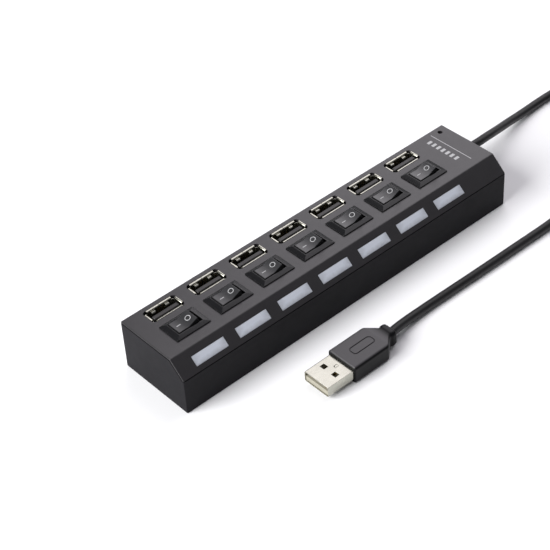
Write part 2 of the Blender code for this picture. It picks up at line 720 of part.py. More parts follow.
def smooth_route(points, spacing):
    """Points about one spacing apart on a Catmull-Rom curve through the route's own points."""
    route = [Vector(point) * MM for point in points]
    ends = [2 * route[0] - route[1]] + route + [2 * route[-1] - route[-2]]
    smooth = []
    for before, start, end, after in zip(ends, ends[1:], ends[2:], ends[3:]):
        steps = max(1, round((end - start).length / spacing))
        for step in range(steps):
            t = step / steps
            bend = 2 * before - 5 * start + 4 * end - after
            twist = 3 * start - before - 3 * end + after
            smooth.append((2 * start + (end - before) * t + bend * t * t + twist * t ** 3) / 2)
    return smooth + [route[-1]]


def cable_part(name, points):
    curve = bpy.data.curves.new(name, "CURVE")
    curve.dimensions = "3D"
    curve.bevel_depth = CABLE_DIAMETER / 2
    curve.bevel_resolution = 2
    curve.use_fill_caps = True
    spline = curve.splines.new("POLY")
    path = smooth_route(points, 2.2 * CABLE_DIAMETER)
    spline.points.add(len(path) - 1)
    for target, point in zip(spline.points, path):
        target.co = (*point, 1.0)
    curve.materials.append(MATERIALS["rubber"])
    HUB.objects.link(bpy.data.objects.new(name, curve))


def make_coil():
    """The outer shape of the coiled cable, and the strap round it."""
    inner, outer = COIL_RADIUS - COIL_HALF_BREADTH, COIL_RADIUS + COIL_HALF_BREADTH
    corner = 1.4 * MM
    profile = [
        (inner + corner, COIL_TOP), (outer - corner, COIL_TOP), (outer, COIL_TOP - corner),
        (outer, COIL_BOTTOM + corner), (outer - corner, COIL_BOTTOM), (inner + corner, COIL_BOTTOM),
        (inner, COIL_BOTTOM + corner), (inner, COIL_TOP - corner),
    ]
    turned_part("cable_coil", "rubber", profile, 28, COIL_CENTRE)
    rings = []
    half_height = (COIL_TOP - COIL_BOTTOM) / 2 + GAP
    half_breadth = COIL_HALF_BREADTH + 1.5 * GAP
    middle = half_height + STRAP_THICKNESS
    for y, thickness in (
        (-STRAP_WIDTH / 2, STRAP_THICKNESS), (STRAP_WIDTH / 2, STRAP_THICKNESS),
        (STRAP_WIDTH / 2, 0.0), (-STRAP_WIDTH / 2, 0.0),
    ):
        radius = 0.8 * MM + thickness
        outline = rounded_rectangle(half_breadth + thickness, half_height + thickness, radius)
        rings.append([(COIL_RADIUS + x, y, middle + z) for x, z in outline])
    part("cable_tie", "rubber", loft_mesh("cable_tie", rings, closed=True), COIL_CENTRE)


def overmould_rings():
    """Sections of the plug's grip: a flat block that tapers to a waist and a round collar."""
    taper_x = PLUG_FRONT_X + PLUG_BODY
    waist_x = taper_x + PLUG_TAPER
    sections = [
        (PLUG_FRONT_X, 6.4, 3.3, 1.0), (PLUG_FRONT_X + 0.4 * MM, 6.8, 3.7, 1.2),
        (taper_x, 6.8, 3.7, 1.2), (waist_x, 3.2, 3.25, 1.4), (waist_x + 0.5 * MM, 3.15, 3.15, 1.4),
        (waist_x + 1.1 * MM, 3.5, 3.35, 1.6), (PLUG_BACK_X - 0.9 * MM, 3.5, 3.35, 1.6),
        (PLUG_BACK_X, 2.9, 2.7, 1.5),
    ]
    rings = []
    for x, half_y, half_z, radius in sections:
        outline = rounded_rectangle(half_y * MM, half_z * MM, radius * MM)
        rings.append([(x, PLUG_Y + y, PLUG_Z + z) for y, z in outline])
    return rings


def plug_shell_rings():
    """The plug's metal tube, round its outside and back along its inside."""
    front, back = PLUG_FRONT_X - PLUG_SHELL_REACH, PLUG_FRONT_X + PLUG_POCKET - GAP
    half_y, half_z = PLUG_SHELL_HALF
    rings = []
    for x, inset, radius in ((front, 0, 0.6), (back, 0, 0.6), (back, SHEET, 0.3), (front, SHEET, 0.3)):
        outline = rounded_rectangle(half_y - inset, half_z - inset, radius * MM, steps=2)
        rings.append([(x, PLUG_Y + y, PLUG_Z + z) for y, z in outline])
    return rings


def make_plug():
    grip = part("plug_overmould", "rubber", loft_mesh("plug_overmould", overmould_rings()))
    half_y, half_z = PLUG_SHELL_HALF[0] + 1.5 * FIT, PLUG_SHELL_HALF[1] + 1.5 * FIT
    low = (PLUG_FRONT_X - BEYOND, PLUG_Y - half_y, PLUG_Z - half_z)
    high = (PLUG_FRONT_X + PLUG_POCKET, PLUG_Y + half_y, PLUG_Z + half_z)
    combine(grip, "DIFFERENCE", helper("plug_pocket", box_mesh("plug_pocket", low, high)))
    shell = part("plug_shell", "steel", loft_mesh("plug_shell", plug_shell_rings(), closed=True))
    latches = bmesh.new()
    latch_x, latch_y = PLUG_FRONT_X - 5.7 * MM, 2.8 * MM
    half_x, half_y = 1.0 * MM, 1.1 * MM
    for side in (-1, 1):
        y = PLUG_Y + side * latch_y
        low = (latch_x - half_x, y - half_y, -BEYOND)
        high = (latch_x + half_x, y + half_y, PLUG_Z + BEYOND)
        add_box(latches, low, high)
    combine(shell, "DIFFERENCE", helper("plug_latches", to_mesh("plug_latches", latches)))
    make_plug_tongue()


def make_plug_tongue():
    """The contact carrier: a slab on the shell's lower side and a block across its root."""
    half_y = PLUG_SHELL_HALF[0] - SHEET - FIT
    floor = PLUG_SHELL_HALF[1] - SHEET - FIT
    front, root = PLUG_FRONT_X - PLUG_SHELL_REACH + GAP, PLUG_FRONT_X - 1.5 * MM
    back = PLUG_FRONT_X + PLUG_POCKET - GAP
    slab_top = 0.1 * MM
    mesh = layered_mesh("plug_tongue", [
        (front, (-slab_top, floor), centred(half_y)), (root, (-slab_top, floor), centred(half_y)),
        (root, (-floor, floor), centred(half_y)), (back, (-floor, floor), centred(half_y)),
    ])
    part("plug_tongue", "plug_plastic", mesh, (0, PLUG_Y, PLUG_Z), (0, math.radians(90), 0))


def main():
    make_tray()
    make_lid()
    make_board()
    make_chips()
    make_crystal()
    make_capacitor()
    make_leds()
    make_ports()
    make_switches()
    make_windows()
    make_screws()
    make_grommet()
    cable_part("cable_from_hub", ROUTE_FROM_HUB)
    make_coil()
    cable_part("cable_to_plug", ROUTE_TO_PLUG)
    make_plug()
    for obj in HUB.objects:
        if obj.type == "MESH" and obj.data.polygons:
            shade_smooth(obj.data)


main()
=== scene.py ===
import json
import math

import bmesh
import bpy
from mathutils import Matrix, Vector


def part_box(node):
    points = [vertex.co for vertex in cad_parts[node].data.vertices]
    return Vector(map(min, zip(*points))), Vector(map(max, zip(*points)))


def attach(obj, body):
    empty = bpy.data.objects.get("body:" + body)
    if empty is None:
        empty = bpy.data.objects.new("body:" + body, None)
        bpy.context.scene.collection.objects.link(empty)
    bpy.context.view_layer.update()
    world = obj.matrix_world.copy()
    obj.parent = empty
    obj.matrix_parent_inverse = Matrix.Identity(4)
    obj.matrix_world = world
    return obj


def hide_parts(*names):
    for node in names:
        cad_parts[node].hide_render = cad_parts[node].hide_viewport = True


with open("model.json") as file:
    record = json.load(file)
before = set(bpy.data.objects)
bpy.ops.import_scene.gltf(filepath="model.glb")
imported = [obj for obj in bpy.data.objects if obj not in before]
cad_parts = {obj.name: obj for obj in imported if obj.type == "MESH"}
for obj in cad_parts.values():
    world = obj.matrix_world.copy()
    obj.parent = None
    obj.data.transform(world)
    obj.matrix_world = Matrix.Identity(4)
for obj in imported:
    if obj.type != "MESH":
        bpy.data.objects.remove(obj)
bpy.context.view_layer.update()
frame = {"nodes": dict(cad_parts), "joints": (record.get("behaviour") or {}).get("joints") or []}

MM = 0.001

# ------------------------------------------------------------------ places, from the frame

JOINTS = {joint["name"]: joint for joint in frame["joints"]}
PORT_COUNT = len(JOINTS)
LID_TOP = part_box("top_lid")[1].z
COIL_LOW, COIL_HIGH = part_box("cable_coil")
COIL_CENTRE = (COIL_LOW + COIL_HIGH) / 2
PLUG_LOW, PLUG_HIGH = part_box("plug_overmould")
PLUG_CENTRE = (PLUG_LOW + PLUG_HIGH) / 2
SHELL_LOW, SHELL_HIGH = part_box("plug_shell")
PIVOTS = [Vector(JOINTS[f"switch_{index}"]["pos_m"]) for index in range(1, PORT_COUNT + 1)]
ROCKER_TILT = math.radians(JOINTS["switch_1"]["range_deg"][1] / 2)

# USB-A port, about the middle of its mouth at the height of the lid's top
PORT_HALF = (6.25 * MM, 2.56 * MM)      # inside the shell
PORT_CORNER = 0.45 * MM
SHEET = 0.3 * MM
LIP_REACH = 0.8 * MM                    # how far a lip stands out from the inside of the shell
LIP_TOP = 0.05 * MM
LIP_BEND = math.radians(88.0)
LIP_RADIUS = 0.45 * MM
LIP_HALF = (5.45 * MM, 1.9 * MM)        # the four lips end here, short of the corners
LIP_CUT = 0.45 * MM                     # how far the gap at a corner cuts below the bend
TONGUE_BACK = -0.03 * MM                # y of the tongue's back face, which carries the contacts
SPRING_X = 3.07 * MM
CONTACTS_X = (-3.5 * MM, -1.0 * MM, 1.0 * MM, 3.5 * MM)

# Rocker, about its pivot and level between its two positions
ROCKER_CENTRE = 3.0 * MM                # height of the crease between its two facets
ROCKER_FACET = 4.3 * MM                 # length of one facet
ROCKER_HALF_WIDTH = 3.05 * MM
ROCKER_WAIST = (4.81 * MM, 1.02 * MM)   # x and z of the widest point of an end
ROCKER_FOOT = (2.2 * MM, -1.6 * MM)
PIN_RADIUS = 0.8 * MM
PIN_HALF = 4.1 * MM                     # the pins' reach to either side
MARK_DEPTH = 0.02 * MM

# Cable: its route where it is not coiled, in metres, and its coil
CABLE_DIAMETER = 3.5 * MM
ROUTE_FROM_HUB = [
    (0.0885, 0.0085, 0.0102), (0.0930, 0.0086, 0.01005), (0.0980, 0.0094, 0.0093),
    (0.1040, 0.0107, 0.0079), (0.1100, 0.0123, 0.0062), (0.1170, 0.0140, 0.0045),
    (0.1240, 0.0153, 0.0031), (0.1310, 0.0162, 0.0023), (0.1380, 0.0168, 0.0019),
    (0.1450, 0.0170, 0.0018), (0.1520, 0.0166, 0.0019), (0.1580, 0.0154, 0.0021),
    (0.1635, 0.0133, 0.0023),
]
ROUTE_TO_PLUG = [
    (0.1500, -0.0342, 0.0047), (0.1430, -0.0343, 0.0034), (0.1360, -0.0346, 0.0024),
    (0.1270, -0.0353, 0.0018), (0.1150, -0.0366, 0.00176), (0.1000, -0.0380, 0.00176),
    (0.0813, -0.0389, 0.00176), (0.0600, -0.0388, 0.00176), (0.0400, -0.0386, 0.00176),
    (0.0280, -0.0384, 0.00176), (0.0210, -0.0383, 0.00178), (0.0140, -0.0383, 0.0019),
    (0.0080, -0.0385, 0.0022), (0.0030, -0.0389, 0.0027), (-0.0013, -0.0395, 0.00325),
    (-0.0053, -0.0402, 0.00365),
]
COIL_ENTRY_ANGLE = 65.0
COIL_TURNED = 875.0                     # degrees from its start to its end
COIL_STEP = 15.0                        # degrees between the points of its path
COIL_INWARD = (200.0, 360.0)            # degrees turned while it passes to its inner turn,
COIL_OUTWARD = (510.0, 580.0)           # out again to the turn on top,
COIL_CLIMB = (465.0, 545.0)             # up over the first layer,
COIL_SETTLE = (700.0, 770.0)            # and down between the turns beneath
COIL_OUTER = 22.8 * MM
COIL_INNER = 19.2 * MM
COIL_TOP_RADIUS = 21.0 * MM
COIL_FIRST_LAYER = COIL_LOW.z + CABLE_DIAMETER / 2

# Plug: its grip from front to back, and the oblong sunk in its top
GRIP_BODY = 16.5 * MM                   # length of the straight part
GRIP_TAPER = 4.3 * MM
OBLONG_X = 10.0 * MM                    # behind the grip's front
OBLONG_DEPTH = 0.25 * MM
OBLONG_OUTER = (5.2 * MM, 2.0 * MM, 1.5 * MM)     # half length, half width and corner
OBLONG_INNER = (4.75 * MM, 1.55 * MM, 1.05 * MM)
OBLONG_FLARE = 0.12 * MM                # how much wider it is above the grip

# Camera
CAMERA_AZIMUTH = math.radians(-39.52)
CAMERA_ELEVATION = math.radians(40.91)
CAMERA_ROLL = math.radians(-3.92)
CAMERA_TARGET = Vector((-23.5 * MM, 0.0, 17.5 * MM))
CAMERA_DISTANCE = 0.580
CAMERA_LENS = 106.26
CAMERA_SENSOR = 36.0


# ------------------------------------------------------------------ stage, lights and camera

def make_camera():
    """Looks at the target from the camera's angle, with its up direction rolled."""
    azimuth, elevation, roll = CAMERA_AZIMUTH, CAMERA_ELEVATION, CAMERA_ROLL
    back = Vector((
        math.sin(azimuth) * math.cos(elevation),
        -math.cos(azimuth) * math.cos(elevation),
        math.sin(elevation),
    ))
    level = Vector((math.cos(azimuth), math.sin(azimuth), 0.0))
    upright = back.cross(level)
    right = level * math.cos(roll) + upright * math.sin(roll)
    up = upright * math.cos(roll) - level * math.sin(roll)
    data = bpy.data.cameras.new("camera")
    data.lens = CAMERA_LENS
    data.sensor_width = CAMERA_SENSOR
    data.clip_start = 0.01
    data.clip_end = 20.0
    camera = bpy.data.objects.new("camera", data)
    place = Matrix.Translation(CAMERA_TARGET + back * CAMERA_DISTANCE)
    camera.matrix_world = place @ Matrix((right, up, back)).transposed().to_4x4()
    bpy.context.scene.collection.objects.link(camera)
    bpy.context.scene.camera = camera


def softbox(name, place, target, size, watts, colour=(1.0, 1.0, 1.0)):
    """A rectangular area light at this place that faces the target."""
    data = bpy.data.lights.new(name, "AREA")
    data.shape = "RECTANGLE"
    data.size, data.size_y = size
    data.energy = watts
    data.color = colour
    light = bpy.data.objects.new(name, data)
    light.location = place
    light.rotation_euler = (Vector(target) - Vector(place)).to_track_quat("-Z", "Y").to_euler()
    bpy.context.scene.collection.objects.link(light)


def make_lights():
    """A large softbox on each side and a faint, even sky."""
    middle = (0.02, 0.0, 0.01)
    softbox("right_softbox", (0.60, 0.27, 0.63), middle, (0.95, 1.0), 5.3, (1.0, 0.96, 1.01))
    softbox("left_softbox", (-1.15, 0.20, 0.72), middle, (1.0, 1.0), 31.0)
    world = bpy.data.worlds.new("studio")
    world.use_nodes = True
    background = world.node_tree.nodes["Background"]
    background.inputs["Color"].default_value = (0.93, 0.95, 1.0, 1.0)
    background.inputs["Strength"].default_value = 0.18
    bpy.context.scene.world = world
    bpy.context.scene.view_settings.view_transform = "Standard"


def make_floor():
    """White paper under the hub, which belongs to the stage and not to the part."""
    shape = bmesh.new()
    bmesh.ops.create_grid(shape, x_segments=1, y_segments=1, size=3.0)
    floor = bpy.data.objects.new("floor", to_mesh("floor", shape))
    finish = Finish("floor_paper", (0.97, 0.97, 0.98), roughness=0.9, specular=0.1)
    floor.data.materials.append(finish.material)
    bpy.context.scene.collection.objects.link(floor)


# ------------------------------------------------------------------ materials

class Finish:
    """A material being built: a Principled shader whose textures follow the piece itself."""

    def __init__(self, name, colour, roughness, metallic=0.0, specular=0.5):
        """A plain shader with these values, which the other methods vary."""
        self.material = bpy.data.materials.new(name)
        self.material.use_nodes = True
        self.nodes = self.material.node_tree.nodes
        self.links = self.material.node_tree.links
        self.shader = self.nodes["Principled BSDF"]
        self.coordinates = self.nodes.new("ShaderNodeTexCoord").outputs["Object"]
        self.colour = colour
        self.roughness = roughness
        self.set("Base Color", (*colour, 1.0))
        self.set("Roughness", roughness)
        self.set("Metallic", metallic)
        self.set("Specular IOR Level", specular)
        self.set("IOR", 1.5)

    def set(self, socket, value):
        """Gives one of the shader's inputs a value."""
        self.shader.inputs[socket].default_value = value

    def noise(self, size, detail=2.0, stretch=(1.0, 1.0, 1.0)):
        """Noise whose features are about this size in metres, longer along a stretched axis."""
        mapping = self.nodes.new("ShaderNodeMapping")
        mapping.inputs["Scale"].default_value = [1.0 / factor for factor in stretch]
        self.links.new(self.coordinates, mapping.inputs["Vector"])
        texture = self.nodes.new("ShaderNodeTexNoise")
        texture.inputs["Scale"].default_value = 1.0 / size
        texture.inputs["Detail"].default_value = detail
        self.links.new(mapping.outputs["Vector"], texture.inputs["Vector"])
        return texture.outputs["Fac"]

    def between(self, factor, low, high, start=0.3, end=0.7):
        """Goes from low to high while the factor goes from start to end."""
        remap = self.nodes.new("ShaderNodeMapRange")
        sockets = ("From Min", "From Max", "To Min", "To Max")
        for socket, value in zip(sockets, (start, end, low, high)):
            remap.inputs[socket].default_value = value
        self.links.new(factor, remap.inputs["Value"])
        return remap.outputs["Result"]

    def mottle(self, factor, amount):
        """Darkens the base colour by this share where the factor is high."""
        self.blend(factor, [channel * (1.0 - amount) for channel in self.colour])

    def blend(self, factor, other):
        """Goes over to another base colour where the factor is high."""
        mix = self.nodes.new("ShaderNodeMix")
        mix.data_type = "RGBA"
        mix.inputs["A"].default_value = (*self.colour, 1.0)
        mix.inputs["B"].default_value = (*other, 1.0)
        self.links.new(self.between(factor, 0.0, 1.0), mix.inputs["Factor"])
        self.links.new(mix.outputs["Result"], self.shader.inputs["Base Color"])

    def vary_roughness(self, factor, spread):
        """Takes the roughness up and down by the spread as the factor rises and falls."""
        result = self.between(factor, self.roughness - spread, self.roughness + spread)
        self.links.new(result, self.shader.inputs["Roughness"])

    def roughen(self, factor, roughness):
        """Goes over to another roughness as the factor goes from 0 to 1."""
        result = self.between(factor, self.roughness, roughness, 0.0, 1.0)
        self.links.new(result, self.shader.inputs["Roughness"])

    def compute(self, operation, *values):
        """A Math node's result; each value is a number or another node's output."""
        node = self.nodes.new("ShaderNodeMath")
        node.operation = operation
        for socket, value in zip(node.inputs, values):
            if isinstance(value, float):
                socket.default_value = value
            else:
                self.links.new(value, socket)
        return node.outputs[0]

    def place(self, axis):
        """Where a point lies along this axis of the piece."""
        axes = self.nodes.new("ShaderNodeSeparateXYZ")
        self.links.new(self.coordinates, axes.inputs["Vector"])
        return axes.outputs[axis]

    def aside(self, axis):
        """How far a point lies from the piece's own origin along this axis, to either side."""
        return self.compute("ABSOLUTE", self.place(axis))

    def coat(self, weight, ior=1.5):
        """A coat as rough as the base where the weight is 1 and none where it is 0."""
        self.set("Coat Roughness", self.roughness)
        self.set("Coat IOR", ior)
        self.links.new(weight, self.shader.inputs["Coat Weight"])

    def bump(self, factor, depth):
        """Relief of this depth in metres, high where the factor is high."""
        node = self.nodes.new("ShaderNodeBump")
        node.inputs["Distance"].default_value = depth
        node.inputs["Strength"].default_value = 1.0
        self.links.new(factor, node.inputs["Height"])
        self.links.new(node.outputs["Normal"], self.shader.inputs["Normal"])


def rocker_plastic():
    """Satin on the facets, and matt down the rocker's sides and ends, where its colour is darkened
    as painted shade.
    """
    finish = Finish("rocker_black", (0.013, 0.013, 0.0145), 0.36, specular=0.2)
    brink, change = 0.16 * MM, 0.12 * MM  # it starts this far inside the edge and takes this long
    side_start = ROCKER_HALF_WIDTH - brink
    end_start = ROCKER_FACET * math.cos(ROCKER_TILT) - brink
    side = finish.between(finish.aside("Y"), 0.0, 1.0, side_start, side_start + change)
    end = finish.between(finish.aside("X"), 0.0, 1.0, end_start, end_start + change)
    below = finish.compute("MAXIMUM", side, end)
    # painted shade: the rocker's sides and ends go over to a near-black colour
    finish.blend(below, (0.004, 0.004, 0.0045))
    finish.roughen(below, 0.85)
    finish.coat(finish.compute("SUBTRACT", 1.0, below), ior=1.68)
    finish.bump(finish.noise(0.16 * MM, detail=2.5), 0.006 * MM)
    return finish.material


def moulded(name, colour, roughness, grain, depth, specular):
    """Moulded plastic with a spark-eroded grain of this size and depth in millimetres."""
    finish = Finish(name, colour, roughness, specular=specular)
    finish.mottle(finish.noise(9 * MM, detail=3.0), 0.10)
    finish.vary_roughness(finish.noise(3 * MM, detail=3.0), 0.02)
    finish.bump(finish.noise(grain * MM, detail=2.5), depth * MM)
    return finish.material


def grip_plastic():
    """Soft black plastic with a satin coat on the grip's flat top, where its colour is also painted
    paler as painted light.
    """
    finish = Finish("grip_black", (0.004, 0.004, 0.0045), 0.33, specular=0.12)
    start, end = PLUG_HIGH.z - 0.5 * MM, PLUG_HIGH.z - 0.05 * MM
    painted_light_top = finish.between(finish.place("Z"), 0.0, 1.0, start, end)
    # painted light: the grip's flat top goes over to a paler colour than its sides
    finish.blend(painted_light_top, (0.030, 0.028, 0.031))
    finish.coat(finish.compute("MULTIPLY", painted_light_top, 0.7))
    finish.vary_roughness(finish.noise(3 * MM, detail=3.0), 0.02)
    finish.bump(finish.noise(0.15 * MM, detail=2.5), 0.007 * MM)
    return finish.material


def plated(name, colour, roughness, along=(6.0, 1.0, 1.0)):
    """Plated sheet metal with faint rolling lines."""
    finish = Finish(name, colour, roughness, metallic=1.0)
    finish.mottle(finish.noise(4 * MM, detail=3.0), 0.10)
    finish.vary_roughness(finish.noise(0.25 * MM, detail=2.0, stretch=along), 0.07)
    finish.bump(finish.noise(0.12 * MM, detail=2.0, stretch=along), 0.004 * MM)
    return finish.material


def milky():
    """Milky plastic that is darker toward the edges of its window."""
    finish = Finish("window_milky", (0.56, 0.59, 0.655), 0.38, specular=0.45)
    finish.set("Subsurface Weight", 0.25)
    finish.set("Subsurface Radius", (1.0, 1.0, 1.0))
    finish.set("Subsurface Scale", 0.8 * MM)
    low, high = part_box("light_window_1")
    half = (high - low) / 2
    across = finish.compute("DIVIDE", finish.aside("X"), half.x)
    along = finish.compute("DIVIDE", finish.aside("Y"), half.y)
    edge = finish.compute("POWER", finish.compute("MAXIMUM", across, along), 2.0)
    cloud = finish.compute("MULTIPLY", finish.noise(2 * MM, detail=3.0), 0.35)
    finish.mottle(finish.compute("MULTIPLY_ADD", edge, 0.55, cloud), 0.36)
    finish.vary_roughness(finish.noise(1.5 * MM, detail=2.0), 0.05)
    finish.bump(finish.noise(0.2 * MM, detail=2.0), 0.006 * MM)
    return finish.material


def jacket():
    """Cable jacket: soft PVC with faint extrusion lines."""
    finish = Finish("cable_rubber", (0.010, 0.010, 0.0105), 0.42, specular=0.32)
    finish.mottle(finish.noise(14 * MM, detail=3.0), 0.15)
    finish.vary_roughness(finish.noise(2 * MM, detail=3.0), 0.06)
    finish.bump(finish.noise(0.5 * MM, detail=2.0), 0.010 * MM)
    return finish.material


def solder_mask():
    """Green board lacquer with faint lighter traces under it."""
    finish = Finish("board_green", (0.010, 0.085, 0.040), 0.35)
    finish.blend(finish.noise(1.6 * MM, detail=4.0), (0.030, 0.160, 0.080))
    finish.bump(finish.noise(0.8 * MM, detail=1.0), 0.02 * MM)
    return finish.material


def clear_resin():
    """The clear body of an LED."""
    finish = Finish("led_clear", (0.82, 0.86, 0.90), 0.12)
    finish.set("Transmission Weight", 0.8)
    finish.mottle(finish.noise(2 * MM), 0.08)
    return finish.material


def painted_mark():
    """Pale pad-printed ink."""
    finish = Finish("mark_pale", (0.50, 0.50, 0.51), 0.55, specular=0.3)
    finish.mottle(finish.noise(0.35 * MM, detail=3.0), 0.18)
    finish.bump(finish.noise(0.15 * MM), 0.003 * MM)
    return finish.material


def gold():
    """The gold plating of contacts and terminals."""
    finish = Finish("contact_gold", (0.78, 0.55, 0.22), 0.28, metallic=1.0)
    finish.mottle(finish.noise(0.8 * MM), 0.12)
    finish.vary_roughness(finish.noise(0.2 * MM, stretch=(1, 1, 5)), 0.08)
    return finish.material


MOULDED = {  # base colour, roughness, size and depth of the grain in millimetres, specular level
    "lid_black": ((0.016, 0.0145, 0.0165), 0.37, 0.16, 0.005, 0.7),
    # tray_black's base colour, darker than lid_black's, is painted shade on the case's front and
    # ends
    "tray_black": ((0.011, 0.0105, 0.0125), 0.55, 0.16, 0.010, 0.09),
    "switch_black": ((0.0075, 0.0075, 0.0085), 0.24, 0.20, 0.006, 0.36),
    "insulator_black": ((0.032, 0.030, 0.030), 0.42, 0.25, 0.006, 0.4),
    "chip_black": ((0.018, 0.018, 0.019), 0.55, 0.12, 0.010, 0.4),
    "strap_black": ((0.016, 0.016, 0.017), 0.75, 0.35, 0.060, 0.4),
    "plug_cream": ((0.36, 0.34, 0.27), 0.45, 0.3, 0.008, 0.4),
}
FINISHES = {name: moulded(name, *values) for name, values in MOULDED.items()}
FINISHES.update({
    "rocker_black": rocker_plastic(),
    "grip_black": grip_plastic(),
    "port_steel": plated("port_steel", (0.48, 0.474, 0.412), 0.24),
    "can_steel": plated("can_steel", (0.66, 0.66, 0.66), 0.33),
    "screw_steel": plated("screw_steel", (0.42, 0.42, 0.44), 0.35, along=(1.0, 1.0, 1.0)),
    "window_milky": milky(),
    "cable_rubber": jacket(),
    "board_green": solder_mask(),
    "led_clear": clear_resin(),
    "mark_pale": painted_mark(),
    "contact_gold": gold(),
})


# ------------------------------------------------------------------ shape tools

def to_mesh(name, shape):
    """Turns a bmesh into a mesh with its faces outward, and frees it."""
    bmesh.ops.recalc_face_normals(shape, faces=shape.faces)
    mesh = bpy.data.meshes.new(name)
    shape.to_mesh(mesh)
    shape.free()
    return mesh


def soften(obj):
    """Shades the piece smooth across its small bevels and flat across its large faces."""
    obj.data.shade_smooth()
    obj.data.set_sharp_from_angle(angle=math.radians(40.0))
    step = obj.modifiers.new("weighted normals", "WEIGHTED_NORMAL")
    step.keep_sharp = True
    step.weight = 90


def piece(name, mesh, finish, body="hub", stands_for=(), place=None, smooth=True):
    """Puts a mesh in the scene with its finish, on its body, in place of the CAD nodes it shows."""
    obj = bpy.data.objects.new(name, mesh)
    if place is not None:
        obj.matrix_world = place
    mesh.materials.clear()
    mesh.materials.append(FINISHES[finish])
    bpy.context.scene.collection.objects.link(obj)
    if smooth:
        soften(obj)
    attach(obj, body)
    if stands_for:
        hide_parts(*stands_for)
    return obj


def add_box(shape, low, high):
    """A box between two opposite corners."""
    low, high = Vector(low), Vector(high)
    scaling = Matrix.Diagonal((*(high - low), 1.0))
    bmesh.ops.create_cube(shape, size=1.0, matrix=Matrix.Translation((low + high) / 2) @ scaling)


def add_prism(shape, outline, travel):
    """A flat outline of 3-D points swept along the travel."""
    face = shape.faces.new([shape.verts.new(point) for point in outline])
    swept = bmesh.ops.extrude_face_region(shape, geom=[face])
    moved = [item for item in swept["geom"] if isinstance(item, bmesh.types.BMVert)]
    bmesh.ops.translate(shape, verts=moved, vec=travel)


def add_loft(shape, rings, closed=False):
    """A skin over rings of points that match one for one, capped or closed on itself."""
    rows = [[shape.verts.new(point) for point in ring] for ring in rings]
    pairs = list(zip(rows, rows[1:]))
    if closed:
        pairs.append((rows[-1], rows[0]))
    else:
        shape.faces.new(rows[0])
        shape.faces.new(rows[-1])
    for row, following in pairs:
        for index in range(len(row)):
            behind = index - 1
            shape.faces.new((row[behind], row[index], following[index], following[behind]))


def rounded_rectangle(half_x, half_y, radius, steps=5):
    """Points of a rectangle with round corners, counter-clockwise."""
    points = []
    for quarter, (sign_x, sign_y) in enumerate([(1, 1), (-1, 1), (-1, -1), (1, -1)]):
        centre_x = sign_x * (half_x - radius)
        centre_y = sign_y * (half_y - radius)
        for step in range(steps + 1):
            angle = math.radians(90.0 * (quarter + step / steps))
            x, y = centre_x + radius * math.cos(angle), centre_y + radius * math.sin(angle)
            points.append((x, y))
    return points


def round_off(shape, radius, sharper_than, segments=2):
    """Rounds the edges where faces meet at more than this angle."""
    limit = math.radians(sharper_than)
    edges = [edge for edge in shape.edges if edge.is_manifold and edge.calc_face_angle() > limit]
    bmesh.ops.bevel(
        shape, geom=edges, offset=radius, offset_type="OFFSET", segments=segments,
        profile=0.5, affect="EDGES", clamp_overlap=True,
    )


def boolean(mesh, other, operation="DIFFERENCE"):
    """The first mesh less the second, or joined with it."""
    obj = bpy.data.objects.new("work", mesh)
    tool = bpy.data.objects.new("tool", other)
    for item in (obj, tool):
        bpy.context.scene.collection.objects.link(item)
    step = obj.modifiers.new("step", "BOOLEAN")
    step.operation = operation
    step.object = tool
    graph = bpy.context.evaluated_depsgraph_get()
    result = bpy.data.meshes.new_from_object(obj.evaluated_get(graph))
    bpy.data.objects.remove(obj)
    bpy.data.objects.remove(tool)
    return result


def refined_mesh(node, radius, sharper_than=40.0):
    """The CAD node's own shape with its flat faces whole and its edges slightly rounded."""
    shape = bmesh.new()
    shape.from_mesh(frame["nodes"][node].data)
    bmesh.ops.remove_doubles(shape, verts=shape.verts, dist=0.002 * MM)
    bmesh.ops.dissolve_limit(
        shape, angle_limit=math.radians(1.0), verts=shape.verts, edges=shape.edges,
    )
    if radius:
        round_off(shape, radius, sharper_than=sharper_than)
    return to_mesh(node, shape)


def refine(node, finish, radius, sharper_than=40.0):
    """The CAD node's own refined shape as a piece that stands for it."""
    mesh = refined_mesh(node, radius, sharper_than)
    return piece(f"{node}_finished", mesh, finish, stands_for=[node])


# ------------------------------------------------------------------ case

def make_case():
    """The lid and the tray."""
    refine("top_lid", "lid_black", 0.10 * MM)
    refine("case_body", "tray_black", 0.08 * MM)


def make_windows():
    """The windows, each about its own middle, where its finish starts from."""
    for index in range(1, PORT_COUNT + 1):
        node = f"light_window_{index}"
        low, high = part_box(node)
        mesh, place = refined_mesh(node, 0.08 * MM), Matrix.Translation((low + high) / 2)
        mesh.transform(place.inverted())
        piece(f"{node}_finished", mesh, "window_milky", stands_for=[node], place=place)


def make_print():
    """Pad-printed row of blocks and a thin rule beside it, in place of wording."""
    shape = bmesh.new()
    low, high = LID_TOP - 0.01 * MM, LID_TOP + 0.015 * MM
    row_x, row_start, row_step = 68.3 * MM, -2.3 * MM, 2.35 * MM
    block = rounded_rectangle(1.15 * MM, 0.62 * MM, 0.25 * MM, steps=3)
    rule = rounded_rectangle(0.14 * MM, 10.6 * MM, 0.12 * MM, steps=2)
    marks = [(row_x, row_start + index * row_step, block) for index in range(PORT_COUNT)]
    marks.append((71.9 * MM, 4.1 * MM, rule))
    for middle_x, middle_y, outline in marks:
        points = [(middle_x + x, middle_y + y, low) for x, y in outline]
        add_prism(shape, points, (0, 0, high - low))
    piece("printed_blocks", to_mesh("printed_blocks", shape), "mark_pale", smooth=False)


# ------------------------------------------------------------------ ports

def port_places():
    """The number of each port and the middle of its mouth."""
    for index in range(1, PORT_COUNT + 1):
        low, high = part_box(f"port_shell_{index}")
        yield index, Vector(((low.x + high.x) / 2, (low.y + high.y) / 2, LID_TOP))


